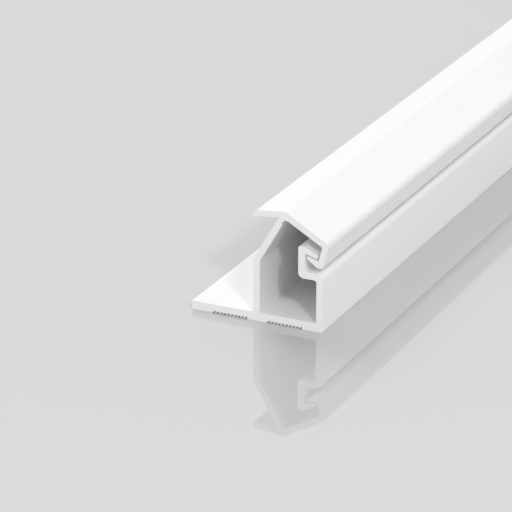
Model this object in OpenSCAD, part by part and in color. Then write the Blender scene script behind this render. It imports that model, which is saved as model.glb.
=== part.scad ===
// Snap-close trim profile: a flat glue-on base with a hollow keyed rib, closed by a
// hinged cap whose hook clips under a barb. One extrusion, the same section all the way.
// The section stands in X and Z, and the length of stock runs along Y.
// Origin: middle of the underside of the base, halfway along the length.

/* [Stock] */
// Length of the cut piece
length = 1000; // [100:50:2000]
// Height from the underside of the base to the ridge of the cap
height = 26.4; // [24.5:0.1:30]

/* [Base] */
// Width of the base
base_w = 31.3; // [30:0.1:36]
// Thickness of the base
base_t = 2.0; // [1.6:0.1:2.4]
// Radius of the long lower edges of the base
base_edge_r = 0.15; // [0.1:0.05:0.8]

/* [Walls] */
// Thickness of the web, the roof and the side wall
wall_t = 1.5; // [1.2:0.05:1.8]
// Fillet where a wall stands on the base
foot_r = 0.4; // [0.2:0.1:1]
// Height at which the outer face of the web starts to lean
web_bend_z = 14.5; // [13:0.1:16]
// Lean of the upper web, from upright
web_lean = 30; // [27:1:32]
// Radius on the outer face of that bend
web_bend_r = 1.0; // [0.5:0.1:3]

/* [Cap] */
// Distance of the ridge from the middle of the base
ridge_x = 6.8; // [6.4:0.1:7.4]
// Distance of the free edge of the flange from the ridge
flange_w = 7.45; // [6.5:0.05:9]
// Thickness of the flange
flange_t = 1.4; // [1.2:0.05:1.6]
// Fall of the flange towards its free edge
flange_fall = 5; // [2:1:8]
// Radius on the upper corner of the free edge
flange_tip_r = 1.0; // [0.4:0.1:1.2]
// Radius on the lower corner of the free edge, also used at the hook's foot
small_r = 0.25; // [0.1:0.05:0.25]
// Radius along the ridge
ridge_r = 0.5; // [0.2:0.1:2]
// How far the corner over the leg stands out past the side wall, before it is rounded
cap_overhang = 1.4; // [1.2:0.05:1.6]
// Fall of the roof
roof_fall = 30; // [28:1:31]
// Outer radius of the corner between the roof and the leg
cap_corner_r = 1.4; // [0.6:0.1:2]
// Inner radius of that corner
cap_inner_r = 0.3; // [0.1:0.1:0.8]

/* [Flex groove] */
// Radius of the groove along the inside of the ridge
groove_r = 1.2; // [1:0.05:1.4]
// Depth to which the groove undercuts the web
groove_cut = 0.35; // [0.2:0.05:0.6]
// How far the groove reaches down the web from the inside of the roof
groove_w = 1.4; // [1.2:0.05:1.8]

/* [Snap leg and hook] */
// Thickness of the leg
leg_t = 1.35; // [1.2:0.05:1.5]
// Lean of the leg, foot inwards, from upright
leg_lean = 15; // [13:1:17]
// Height of the foot of the leg
leg_foot_z = 14.8; // [14.6:0.1:15]
// Width of the flat under the leg
leg_foot_w = 1.35; // [1:0.05:1.8]
// Rise of the underside of the hook, from level
hook_rise = 38; // [36:1:40]
// Clearance between the hook and the barb, and between the barb and the leg
snap_gap = 0.3; // [0.2:0.05:0.4]

/* [Catch] */
// Height of the top of the shelf
shelf_z = 13.45; // [13:0.05:13.6]
// Thickness of the shelf and of the catch wall on it
catch_t = 1.6; // [1.4:0.05:1.8]
// Width of the ledge between the catch wall and the outer face of the side wall
ledge_w = 4.2; // [4.1:0.05:4.4]
// Radius of the long outer edge of the shelf
shelf_edge_r = 1.5; // [0.8:0.1:1.6]
// Radius under the shelf at the side wall
shelf_under_r = 0.6; // [0.3:0.1:1]
// Outer radius where the shelf turns up into the catch wall
catch_turn_r = 1.3; // [0.6:0.1:1.5]
// Height of the top of the catch wall
catch_top_z = 19.2; // [19:0.05:19.3]
// Radius on the chamber side of that top
catch_top_r = 0.5; // [0.2:0.1:0.7]
// Height of the underside of the barb at the catch wall
barb_z = 17.6; // [17.5:0.05:17.7]
// Radius on the nose of the barb and of the hook, and in the notches beside them
nose_r = 0.15; // [0.1:0.01:0.18]

/* [Keying grooves under the base] */
// Number of grooves in each of the two strips
key_count = 10; // [1:1:14]
// Distance from one groove to the next
key_pitch = 0.85; // [0.82:0.01:0.9]
// Width of the mouth of a groove
key_mouth = 0.8; // [0.4:0.01:0.82]
// Depth of a groove
key_depth = 0.55; // [0.2:0.01:0.6]
// Sideways shift of the root of a groove past its mouth
key_undercut = 0.08; // [0:0.01:0.25]
// Plain band between the mouths of the two strips
key_band = 4.7; // [3:0.1:6]

/* [Hidden] */

upvc = [0.93, 0.935, 0.93];
// Arcs come out round, not as facets
$fn = 48;
// How far a cutting or filling shape runs past the face that it works on
over = 0.2;

// Unit vector at an angle, and the one a quarter turn to its left
function along(a) = [cos(a), sin(a)];
function left_of(a) = [-sin(a), cos(a)];
// Where the line through p at angle a meets the line through q at angle b
function meet(p, a, q, b) = p + along(a) * cross(q - p, along(b)) / cross(along(a), along(b));
function unit(v) = v / norm(v);

// Directions of the sloping faces, all pointing to the right or up
flange_a = flange_fall;
roof_a = -roof_fall;
web_a = 90 - web_lean;
leg_a = 90 - leg_lean;
barb_a = -leg_lean;

// Web
web_out = -wall_t / 2;
web_in = wall_t / 2;
bend_out = [web_out, web_bend_z];
slant_in = bend_out - wall_t * left_of(web_a);

// Side wall
side_out = base_w / 2;
side_in = side_out - wall_t;

// Cap
ridge = [ridge_x, height];
roof_in = ridge - wall_t * left_of(roof_a);
flange_under = ridge - flange_t * left_of(flange_a);
flange_tip_x = ridge_x - flange_w;
cap_corner = meet(ridge, roof_a, [side_out + cap_overhang, 0], 90);
leg_in = cap_corner + leg_t * left_of(leg_a);

// Centre of the flex groove: its circle touches the roof and bites into the web.
// The groove ends below in a lip square to the web.
groove_mid = meet(roof_in - groove_r * left_of(roof_a), roof_a,
                  slant_in - (groove_r - groove_cut) * left_of(web_a), web_a);
groove_top = groove_mid + groove_r * left_of(roof_a);
groove_lip = meet(roof_in - groove_w * left_of(roof_a), roof_a, slant_in, web_a);

// Shelf and catch
shelf_under = shelf_z - catch_t;
catch_in = side_out - ledge_w;
catch_out = catch_in - catch_t;
barb_root = [catch_in, barb_z];
barb_end = leg_in + snap_gap * left_of(leg_a);

// Hook: its top follows the underside of the barb, one clearance below
hook_top = barb_root - snap_gap * left_of(barb_a);
hook_end_x = catch_in + snap_gap * 1.4;
leg_foot = meet(cap_corner, leg_a, [0, leg_foot_z], 0);
hook_foot = leg_foot - [leg_foot_w, 0];

// Corners of the section, counter-clockwise, each with the radius that rounds it
CORNERS = [
    [[-side_out, 0], base_edge_r],
    [[side_out, 0], base_edge_r],
    // outside of the side wall, ledge, catch wall and barb
    [[side_out, shelf_z], shelf_edge_r],
    [[catch_in, shelf_z], foot_r],
    [barb_root, 0],
    [meet(barb_root, barb_a, barb_end, leg_a), nose_r],
    [meet([catch_in, catch_top_z], roof_a, barb_end, leg_a), nose_r],
    [[catch_in, catch_top_z], 0],
    [[catch_out, catch_top_z], catch_top_r],
    // chamber, round to the flex groove
    [[catch_out, shelf_under], catch_turn_r],
    [[side_in, shelf_under], shelf_under_r],
    [[side_in, base_t], foot_r],
    [[web_in, base_t], foot_r],
    [meet([web_in, 0], 90, slant_in, web_a), 0],
    [groove_lip, 0],
    [groove_top, 0],
    // inside of the cap, leg and hook
    [meet(roof_in, roof_a, leg_in, leg_a), cap_inner_r],
    [meet(hook_top, barb_a, leg_in, leg_a), nose_r],
    [meet(hook_top, barb_a, [hook_end_x, 0], 90), nose_r],
    [meet(hook_foot, 180 - hook_rise, [hook_end_x, 0], 90), nose_r],
    [hook_foot, small_r],
    // outside of the cap
    [leg_foot, small_r],
    [cap_corner, cap_corner_r],
    [ridge, ridge_r],
    [meet(ridge, flange_a, [flange_tip_x, 0], 90), flange_tip_r],
    [meet(flange_under, flange_a, [flange_tip_x, 0], 90), small_r],
    // outside of the web and top of the base
    [meet(flange_under, flange_a, bend_out, web_a), nose_r],
    [bend_out, web_bend_r],
    [[web_out, base_t], foot_r],
    [[-side_out, base_t], 0],
];
LAST = len(CORNERS) - 1;

function corner(i) = CORNERS[(i + LAST + 1) % (LAST + 1)][0];
function radius(i) = CORNERS[i][1];
// Directions from a corner to the one before it and to the one after it
function back(i) = unit(corner(i - 1) - corner(i));
function ahead(i) = unit(corner(i + 1) - corner(i));
function is_outer(i) = cross(ahead(i), back(i)) > 0;

// The sliver between a sharp corner and the arc that rounds it
module sliver(i) {
    p = corner(i);
    r = radius(i);
    half = acos(back(i) * ahead(i)) / 2;
    middle = unit(back(i) + ahead(i));
    reach = r / tan(half);
    difference() {
        polygon([p + reach * back(i), p - over * middle, p + reach * ahead(i)]);
        translate(p + r / sin(half) * middle) circle(r);
    }
}

// Undercut groove that lets the cap flex open about the web
module flex_groove() {
    translate(groove_mid) rotate(roof_a) {
        intersection() {
            circle(groove_r);
            translate([-2 * groove_r, groove_r - groove_w]) square([4 * groove_r, 3 * groove_r]);
        }
    }
}

// One strip of slanted grooves that the adhesive keys into
module key_strip() {
    for (i = [0 : key_count - 1]) {
        translate([i * key_pitch, 0]) {
            polygon([
                [-over * (key_mouth + key_undercut) / key_depth, -over],
                [key_mouth, -over],
                [key_mouth, 0],
                [key_mouth + key_undercut, key_depth],
            ]);
        }
    }
}

// A shape of the section, run along the length of the stock and a little past each end
module run(past = 0) {
    rotate([90, 0, 0]) linear_extrude(height = length + 2 * past, center = true) children();
}

module t_profile() {
    strip_w = (key_count - 1) * key_pitch + key_mouth;
    color(upvc) difference() {
        union() {
            run() polygon([for (c = CORNERS) c[0]]);
            for (i = [0 : LAST]) {
                if (radius(i) > 0 && !is_outer(i)) run() sliver(i);
            }
        }
        for (i = [0 : LAST]) {
            if (radius(i) > 0 && is_outer(i)) run(over) sliver(i);
        }
        run(over) flex_groove();
        run(over) translate([-key_band / 2 - strip_w, 0]) key_strip();
        run(over) translate([key_band / 2, 0]) key_strip();
    }
}

t_profile();
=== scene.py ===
# %% [markdown]
# # A snap-close trim profile in white uPVC
# The object is a length of plastic trim. A die gives it one section from end to end: a flat
# base that is glued down, a hollow with a leaning web, and a cap that snaps shut over a barb.
# The lesson draws that section, runs it along the stock, and then works on the finish.

# %% Load the frame
import math

import bmesh
import bpy
from mathutils import Matrix, Vector


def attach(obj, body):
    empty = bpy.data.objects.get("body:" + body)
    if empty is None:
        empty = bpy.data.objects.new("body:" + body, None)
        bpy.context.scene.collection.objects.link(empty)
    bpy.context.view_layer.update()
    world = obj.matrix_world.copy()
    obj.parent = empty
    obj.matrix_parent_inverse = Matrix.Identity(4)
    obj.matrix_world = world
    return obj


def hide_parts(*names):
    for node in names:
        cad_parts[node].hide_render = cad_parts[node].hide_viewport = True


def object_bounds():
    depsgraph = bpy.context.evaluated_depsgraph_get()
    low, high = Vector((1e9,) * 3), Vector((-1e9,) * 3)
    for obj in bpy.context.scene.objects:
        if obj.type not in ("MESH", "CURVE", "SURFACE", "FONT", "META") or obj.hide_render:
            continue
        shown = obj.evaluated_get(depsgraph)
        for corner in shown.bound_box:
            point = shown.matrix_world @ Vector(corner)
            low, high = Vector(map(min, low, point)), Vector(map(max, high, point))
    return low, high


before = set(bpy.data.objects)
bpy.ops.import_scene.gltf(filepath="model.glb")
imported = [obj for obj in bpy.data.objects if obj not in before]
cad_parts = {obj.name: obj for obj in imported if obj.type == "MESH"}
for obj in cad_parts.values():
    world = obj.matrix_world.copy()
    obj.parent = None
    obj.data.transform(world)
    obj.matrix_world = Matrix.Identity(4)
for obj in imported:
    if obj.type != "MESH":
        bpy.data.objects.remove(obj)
solid_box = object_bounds()
MM = 0.001
low, high = solid_box
print("solid model, mm:", [round((b - a) / MM, 2) for a, b in zip(low, high)])

# %% [markdown]
# ## Camera
# The picture is a close view of the front end, taken from the right and from above. A long lens
# keeps the stock's edges almost parallel. The camera is put where the section's corners fall on the
# same places as in the picture.

# %% Camera
camera_data = bpy.data.cameras.new("camera")
camera_data.sensor_width = 36
camera_data.lens = 200
camera_data.clip_start = 0.05
camera_data.clip_end = 50
camera = bpy.data.objects.new("camera", camera_data)
bpy.context.scene.collection.objects.link(camera)
azimuth, elevation = math.radians(25.425), math.radians(21.747)
camera.location = (0.24426, -1.01413, 0.24222)
camera.rotation_euler = (math.pi / 2 - elevation, 0, azimuth)
bpy.context.scene.camera = camera
print("camera distance from the front end, mm:", round((camera.location - Vector((0, -0.5, 0))).length / MM))

# %% [markdown]
# ## The section
# A designer draws such a section with sharp corners first, and then gives each corner its radius.
# The same is done here: each row is a corner in millimetres, across and up, with the radius that
# rounds it. The corners run anticlockwise as seen from the front end. The web and the walls are
# 1.5 mm thick and the base is 2 mm, which the rows keep to.

# %% Corners of the section
WIDTH_HALF = 15.65
outside_right = [
    (WIDTH_HALF, 0, 0.15),       # foot of the side wall
    (WIDTH_HALF, 13.45, 1.5),    # long edge of the shelf
    (11.45, 13.45, 0.4),         # back of the ledge
    (11.45, 17.6, 0),            # under the barb
    (14.361, 16.82, 0.15),       # nose of the barb
    (14.523, 17.426, 0.15),
    (11.45, 19.2, 0),
    (9.85, 19.2, 0.5),           # top of the catch wall
]
chamber = [
    (9.85, 11.85, 1.3),
    (14.15, 11.85, 0.6),
    (14.15, 2, 0.4),
    (0.75, 2, 0.4),
    (0.75, 14.098, 0),           # where the web starts to lean
    (6.139, 23.433, 0),          # lip of the flex groove
]
inside_cap = [
    (15.438, 19.681, 0.3),
    (14.573, 16.453, 0.15),      # notch behind the hook
    (11.87, 17.177, 0.15),       # nose of the hook
    (11.87, 16.603, 0.15),
    (14.178, 14.8, 0.25),        # foot of the leg
]
outside_left = [
    (15.528, 14.8, 0.25),
    (17.05, 20.482, 1.4),        # corner of the cap over the leg
    (6.8, 26.4, 0.5),            # ridge
    (-0.65, 25.748, 1.0),        # free edge of the flange
    (-0.65, 24.343, 0.25),
    (5.23, 24.857, 0.15),        # flange meets the web
    (-0.75, 14.5, 1.0),
    (-0.75, 2, 0.4),
    (-WIDTH_HALF, 2, 0),
    (-WIDTH_HALF, 0, 0.15),
]
print("corners:", len(outside_right + chamber + inside_cap + outside_left))

# %% [markdown]
# ## Keying grooves and flex groove
# The underside has two strips of slanted grooves that the adhesive grips. One groove is three
# points, and a loop repeats it at its pitch. Inside the ridge a round groove thins the web, and
# that is where the cap bends when it is opened. It is a plain arc, so it comes from the sine and
# cosine of an angle.

# %% Keying grooves and flex groove
PITCH, MOUTH, UNDERCUT, DEPTH, BAND, COUNT = 0.85, 0.8, 0.08, 0.55, 4.7, 10
strip = (COUNT - 1) * PITCH + MOUTH
keying = []
for start in (-BAND / 2 - strip, BAND / 2):
    for i in range(COUNT):
        x = start + i * PITCH
        keying += [(x, 0, 0), (x + MOUTH + UNDERCUT, DEPTH, 0), (x + MOUTH, 0, 0)]

mid_x, mid_z, groove_r = 6.976, 23.181, 1.2
lip_turn, roof_turn, steps = math.radians(170.4), math.radians(60), 14
flex_groove = []
for i in range(steps + 1):
    turn = lip_turn + (roof_turn - lip_turn) * i / steps
    flex_groove.append((mid_x + groove_r * math.cos(turn), mid_z + groove_r * math.sin(turn), 0))
section = keying + outside_right + chamber + flex_groove + inside_cap + outside_left
print("points before rounding:", len(section))

# %% [markdown]
# ## Run the section along the stock
# Extruded plastic leaves the die as one endless section, so the piece is made the same way. The
# points become one flat face. Bevelling its corners turns each of them into an arc, and extruding
# the face gives the length. Modelling wall by wall would leave joints that the real piece lacks.

# %% Round the corners and extrude
profile = bmesh.new()
front_y, back_y = low.y, high.y
rows = [(profile.verts.new((x * MM, front_y, z * MM)), r) for x, z, r in section]
profile.faces.new([vert for vert, _ in rows])
profile.normal_update()
SEGMENTS = {0.15: 5, 0.25: 6, 0.3: 6, 0.4: 6, 0.5: 7, 0.6: 8, 1.0: 10, 1.3: 12, 1.4: 14, 1.5: 14}
jobs = []
for vert, r in rows:
    if r:
        one, other = [(edge.other_vert(vert).co - vert.co) for edge in vert.link_edges]
        jobs.append((vert, r, r * MM / math.tan(one.angle(other) / 2)))
for vert, r, reach in jobs:
    bmesh.ops.bevel(profile, geom=[vert], affect="VERTICES", offset=reach, offset_type="OFFSET",
                    segments=SEGMENTS[r], profile=0.5, material=-1, clamp_overlap=False)
print("points after rounding:", len(profile.verts))

run = bmesh.ops.extrude_face_region(profile, geom=list(profile.faces))
far_end = [v for v in run["geom"] if isinstance(v, bmesh.types.BMVert)]
bmesh.ops.translate(profile, verts=far_end, vec=(0, back_y - front_y, 0))
bmesh.ops.recalc_face_normals(profile, faces=list(profile.faces))
print("length, mm:", round((back_y - front_y) / MM, 1), "faces:", len(profile.faces))

# %% [markdown]
# ## Cut ends
# The stock is sawn to length, and the sharp arris is knocked off with a scraper. A bevel of a few
# hundredths of a millimetre round both ends does that. The two end faces get the second material,
# because a sawn surface is duller than one that slid through the die; its slightly greyer colour is
# painted shade for the end faces.

# %% Knock off the arris
ends = [f for f in profile.faces if abs(f.normal.y) > 0.99]
rims = list({edge for face in ends for edge in face.edges})
ARRIS = 0.02 * MM
bmesh.ops.bevel(profile, geom=rims, affect="EDGES", offset=ARRIS, offset_type="OFFSET",
                segments=1, profile=0.5, material=-1, clamp_overlap=False)
profile.normal_update()
for face in profile.faces:
    face.smooth = True
    face.material_index = 1 if abs(face.normal.y) > 0.99 else 0
for edge in profile.edges:
    if len(edge.link_faces) == 2 and edge.calc_face_angle() > math.radians(22):
        edge.smooth = False
mesh = bpy.data.meshes.new("trim_profile")
profile.to_mesh(mesh)
profile.free()
trim = bpy.data.objects.new("trim_profile", mesh)
bpy.context.scene.collection.objects.link(trim)
even = trim.modifiers.new("flat faces keep their shading", "WEIGHTED_NORMAL")
even.keep_sharp = True
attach(trim, "root")
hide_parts("t_profile")
print("faces:", len(mesh.polygons), "sawn faces:", sum(p.material_index for p in mesh.polygons))

# %% [markdown]
# ## Helpers for materials
# Colours are written as they look on screen, and the shader wants them linear, so one function
# turns them. Another adds a node with its settings and links, which keeps each material short.

# %% Helpers for materials
def linear(hex_colour):
    parts = [int(hex_colour[i:i + 2], 16) / 255 for i in (1, 3, 5)]
    return tuple(c / 12.92 if c <= 0.04045 else ((c + 0.055) / 1.055) ** 2.4 for c in parts) + (1,)


def node(tree, kind, settings=(), links=()):
    made = tree.nodes.new(kind)
    for name, value in dict(settings).items():
        if name in made.inputs:
            made.inputs[name].default_value = value
        else:
            setattr(made, name, value)
    for name, output in dict(links).items():
        tree.links.new(output, made.inputs[name])
    return made


def new_material(name):
    material = bpy.data.materials.new(name)
    material.use_nodes = True
    tree = material.node_tree
    return material, tree, tree.nodes["Principled BSDF"]


# %% [markdown]
# ## Extruded uPVC
# Rigid PVC is white right through, with titanium dioxide in it. The die leaves a satin skin with
# very fine lines along the length, a few microns deep and some tenths of a millimetre apart. A
# noise stretched a thousand times along the stock draws such lines. A second, broad noise lets
# the gloss drift a little, as it does where the plastic cooled unevenly.

# %% Extruded uPVC
upvc, tree, shader = new_material("extruded uPVC")
shader.inputs["Base Color"].default_value = linear("#F7F8F7")
shader.inputs["IOR"].default_value = 1.53
place = node(tree, "ShaderNodeTexCoord")
LINE = 0.35 * MM
along = node(tree, "ShaderNodeMapping", {"Scale": (1, 0.001, 1)}, {"Vector": place.outputs["Object"]})
lines = node(tree, "ShaderNodeTexNoise", {"Scale": 1 / LINE, "Detail": 3}, {"Vector": along.outputs["Vector"]})
drift = node(tree, "ShaderNodeTexNoise", {"Scale": 1 / (40 * MM), "Detail": 2}, {"Vector": place.outputs["Object"]})
blend = node(tree, "ShaderNodeMath", {"operation": "MULTIPLY"})
tree.links.new(lines.outputs["Fac"], blend.inputs[0])
tree.links.new(drift.outputs["Fac"], blend.inputs[1])
gloss = node(tree, "ShaderNodeMapRange", {"From Min": 0.1, "From Max": 0.5, "To Min": 0.34, "To Max": 0.46},
             {"Value": blend.outputs["Value"]})
tree.links.new(gloss.outputs["Result"], shader.inputs["Roughness"])
relief = node(tree, "ShaderNodeBump", {"Strength": 0.25, "Distance": 0.01 * MM}, {"Height": lines.outputs["Fac"]})
tree.links.new(relief.outputs["Normal"], shader.inputs["Normal"])
mesh.materials.append(upvc)
print("die lines, mm apart:", LINE / MM)

# %% [markdown]
# ## Sawn uPVC
# A fine-toothed blade leaves faint parallel scores on the cut face and takes the shine off it.
# The scores are a noise stretched across the face, tilted as the blade swung through. The base colour
# is a touch greyer than the skin's: painted shade, for the end face that gets less light than the tops.

# %% Sawn uPVC
sawn, tree, shader = new_material("sawn uPVC with painted shade")
# Painted shade: this colour is a touch greyer than the skin's #F7F8F7, to darken the end faces.
shader.inputs["Base Color"].default_value = linear("#F4F5F4")
shader.inputs["IOR"].default_value = 1.53
place = node(tree, "ShaderNodeTexCoord")
swing = node(tree, "ShaderNodeMapping", {"Rotation": (0, math.radians(24), 0), "Scale": (0.03, 1, 1)},
             {"Vector": place.outputs["Object"]})
SCORE = 0.3 * MM
scores = node(tree, "ShaderNodeTexNoise", {"Scale": 1 / SCORE, "Detail": 4}, {"Vector": swing.outputs["Vector"]})
dull = node(tree, "ShaderNodeMapRange", {"To Min": 0.5, "To Max": 0.7}, {"Value": scores.outputs["Fac"]})
tree.links.new(dull.outputs["Result"], shader.inputs["Roughness"])
relief = node(tree, "ShaderNodeBump", {"Strength": 0.3, "Distance": 0.015 * MM}, {"Height": scores.outputs["Fac"]})
tree.links.new(relief.outputs["Normal"], shader.inputs["Normal"])
mesh.materials.append(sawn)
print("saw scores, mm apart:", SCORE / MM)

# %% [markdown]
# ## Floor
# The stock lies on a pale studio table that mirrors it faintly. In the picture the mirror image is
# as strong far away as it is near by. A Fresnel mirror would grow stronger with distance, so a
# Mix Shader adds the same small share of a polished surface to a matt one everywhere.

# %% Floor
slab = bmesh.new()
bmesh.ops.create_grid(slab, x_segments=1, y_segments=1, size=30)
floor_mesh = bpy.data.meshes.new("studio_floor")
slab.to_mesh(floor_mesh)
slab.free()
floor = bpy.data.objects.new("studio_floor", floor_mesh)
bpy.context.scene.collection.objects.link(floor)
table, tree, shader = new_material("polished table")
shader.inputs["Base Color"].default_value = linear("#C7C8C7")
shader.inputs["Roughness"].default_value = 0.9
shader.inputs["Specular IOR Level"].default_value = 0
polish = node(tree, "ShaderNodeBsdfGlossy", {"Color": (1, 1, 1, 1), "Roughness": 0.02})
coat = node(tree, "ShaderNodeMixShader", {"Fac": 0.15})
tree.links.new(shader.outputs["BSDF"], coat.inputs[1])
tree.links.new(polish.outputs["BSDF"], coat.inputs[2])
tree.links.new(coat.outputs["Shader"], tree.nodes["Material Output"].inputs["Surface"])
floor_mesh.materials.append(table)
print("share of the mirror in the table:", coat.inputs["Fac"].default_value)

# %% [markdown]
# ## Light
# The stock stands in a pale tent, which gives soft light from all sides. The tent's back wall is
# brighter, and the table mirrors it: that makes the free table paler than the mirror image of the
# stock. The height and the Y of a ray choose between the two. The camera itself sees a pale grey.

# %% Tent
world = bpy.data.worlds.new("studio")
bpy.context.scene.world = world
world.use_nodes = True
world_tree = world.node_tree
background = world_tree.nodes["Background"]
toward = node(world_tree, "ShaderNodeTexCoord")
ray_way = node(world_tree, "ShaderNodeSeparateXYZ", {}, {"Vector": toward.outputs["Generated"]})
TENT, WALL = 0.62, 1.26
band = node(world_tree, "ShaderNodeValToRGB", {}, {"Fac": ray_way.outputs["Z"]})
tones = [(10, 0), (15, 1), (30, 1), (35, 0)]
stops = band.color_ramp.elements
while len(stops) < len(tones):
    stops.new(1)
for stop, (rise, tone) in zip(stops, tones):
    stop.position = math.sin(math.radians(rise))
    stop.color = (tone, tone, tone, 1)
behind = node(world_tree, "ShaderNodeMapRange", {"From Max": 0.3}, {"Value": ray_way.outputs["Y"]})
wall = node(world_tree, "ShaderNodeMath", {"operation": "MULTIPLY"})
world_tree.links.new(band.outputs["Color"], wall.inputs[0])
world_tree.links.new(behind.outputs["Result"], wall.inputs[1])
level = node(world_tree, "ShaderNodeMapRange", {"To Min": TENT, "To Max": WALL}, {"Value": wall.outputs["Value"]})
world_tree.links.new(level.outputs["Result"], background.inputs["Strength"])
background.inputs["Color"].default_value = (1, 1, 1, 1)
backdrop = node(world_tree, "ShaderNodeBackground", {"Color": linear("#DADBDA"), "Strength": 1})
ray = node(world_tree, "ShaderNodeLightPath")
either = node(world_tree, "ShaderNodeMixShader", {}, {"Fac": ray.outputs["Is Camera Ray"]})
world_tree.links.new(background.outputs["Background"], either.inputs[1])
world_tree.links.new(backdrop.outputs["Background"], either.inputs[2])
world_tree.links.new(either.outputs["Shader"], world_tree.nodes["World Output"].inputs["Surface"])
print("tent and back wall:", TENT, WALL, [round(e.position, 2) for e in stops])


# %% [markdown]
# ## Lamps
# The key is small and stands at the front right, so its shadow edges show inside the hollow and
# across the base. A broad lamp high at the back left lights the tops, and a weak one low at the
# front lights the far part of the hollow. No lamp shows in the polished table.

# %% Lamps
def soft_lamp(name, azimuth, elevation, distance, size, watts):
    turn, rise = math.radians(azimuth), math.radians(elevation)
    level = math.cos(rise)
    away = Vector((math.sin(turn) * level, -math.cos(turn) * level, math.sin(rise)))
    target = Vector((0, front_y, 0.012))
    data = bpy.data.lights.new(name, "AREA")
    data.shape = "DISK"
    data.size = size
    data.energy = watts
    lamp = bpy.data.objects.new(name, data)
    lamp.location = target + distance * away
    lamp.rotation_euler = (-away).to_track_quat("-Z", "Y").to_euler()
    lamp.visible_camera = False
    lamp.visible_glossy = False
    bpy.context.scene.collection.objects.link(lamp)
    return lamp


key = soft_lamp("key", 44, 35.5, 1.8, 0.2, 8.3)
fill = soft_lamp("fill", 232, 46, 2.5, 1.6, 17)
front = soft_lamp("front", 10, 18, 2.5, 1.5, 8)
bpy.context.scene.view_settings.view_transform = "Standard"
print("watts:", {lamp.name: round(lamp.data.energy, 1) for lamp in (key, fill, front)})
